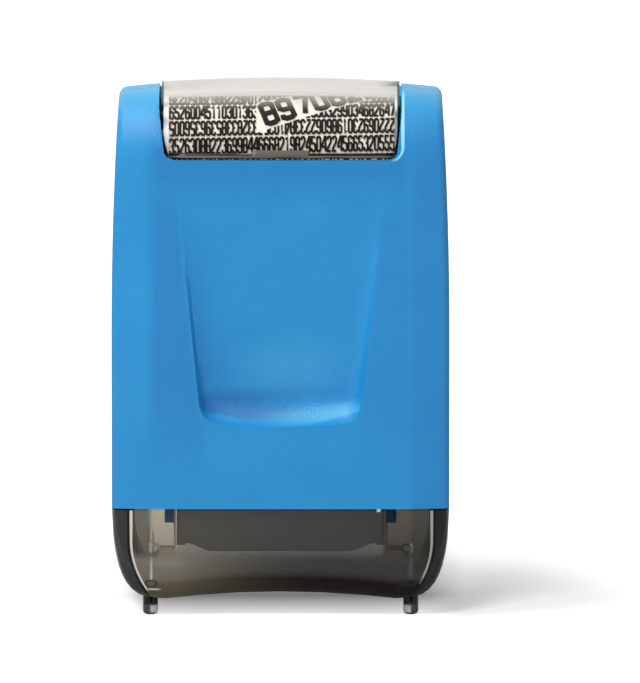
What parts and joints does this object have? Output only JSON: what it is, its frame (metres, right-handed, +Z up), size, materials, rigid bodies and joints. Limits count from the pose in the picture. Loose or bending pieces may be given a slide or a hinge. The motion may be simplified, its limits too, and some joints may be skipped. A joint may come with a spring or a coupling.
{
  "type": "privacy roller stamp",
  "caption": "Hand-held privacy roller stamp: wide type drum under a clear swing-back cover between the ears of a blue housing, ink cartridge in the tail, smoky cap on small feet.",
  "frame": {"origin": "centre of the object's footprint, on the surface that its feet stand on", "axes": "+Z up from the feet to the drum, +X to the right seen from the front, -Y out of the front with the thumb scoop"},
  "size_m": [0.0562, 0.032, 0.0888],
  "materials": {
    "blue_plastic": "satin moulded, fine texture",
    "smoky_plastic": "smoky translucent, polished",
    "clear_plastic": "clear, polished",
    "foot_plastic": "clear, soft",
    "dark_plastic": "satin moulded",
    "grey_plastic": "satin moulded",
    "acetal": "smooth natural",
    "type_rubber": "moulded type, inked faces",
    "ink_felt": "ink-soaked felt",
    "steel": "drawn and plated",
    "bronze": "sintered"
  },
  "bodies": {
    "housing": {"front_shell": "blue_plastic", "rear_shell": "blue_plastic", "shell_screw_lower_left": "steel", "shell_screw_lower_right": "steel", "shell_screw_upper_left": "steel", "shell_screw_upper_right": "steel", "drum_axle": "steel", "axle_clip_left": "steel", "axle_clip_right": "steel"},
    "drum": {"drum_core": "acetal", "type_sleeve": "type_rubber", "drum_bush_left": "bronze", "drum_bush_right": "bronze"},
    "cover": {"drum_cover": "clear_plastic"},
    "cartridge": {"ink_cartridge": "dark_plastic", "fill_plug": "steel", "ink_reservoir": "ink_felt", "spring_plate": "grey_plastic", "yoke_spring_left": "steel", "yoke_spring_right": "steel"},
    "yoke": {"ink_yoke": "grey_plastic", "ink_wick": "ink_felt"},
    "ink_roller": {"ink_roller_felt": "ink_felt", "ink_roller_core": "acetal", "ink_roller_axle": "steel"},
    "cap": {"tail_cap": "smoky_plastic", "cap_foot_front_left": "foot_plastic", "cap_foot_front_right": "foot_plastic", "cap_foot_rear_left": "foot_plastic", "cap_foot_rear_right": "foot_plastic"}
  },
  "joints": [
    {"name": "drum_spin", "type": "hinge", "parent": "housing", "child": "drum", "pos_m": [0, 0, 0.0762], "axis": [1, 0, 0], "continuous": true},
    {"name": "cover_swing", "type": "hinge", "parent": "housing", "child": "cover", "pos_m": [0, 0, 0.0762], "axis": [-1, 0, 0], "range_deg": [0, 118]},
    {"name": "cartridge_draw", "type": "slide", "parent": "housing", "child": "cartridge", "axis": [0, 0, -1], "range_m": [0, 0.048]},
    {"name": "yoke_press", "type": "slide", "parent": "cartridge", "child": "yoke", "axis": [0, 0, -1], "range_m": [0, 0.0012], "stiffness_N_per_m": 300, "springref_m": -0.003, "deforming": ["yoke_spring_left", "yoke_spring_right"]},
    {"name": "ink_roller_spin", "type": "hinge", "parent": "yoke", "child": "ink_roller", "pos_m": [0, -0.004, 0.06123], "axis": [1, 0, 0], "continuous": true},
    {"name": "cap_pull", "type": "slide", "parent": "cartridge", "child": "cap", "axis": [0, 0, -1], "range_m": [0, 0.03]}
  ],
  "couplings": [
    {"joint": "ink_roller_spin", "follows": "drum_spin", "ratio": -2.619}
  ]
}
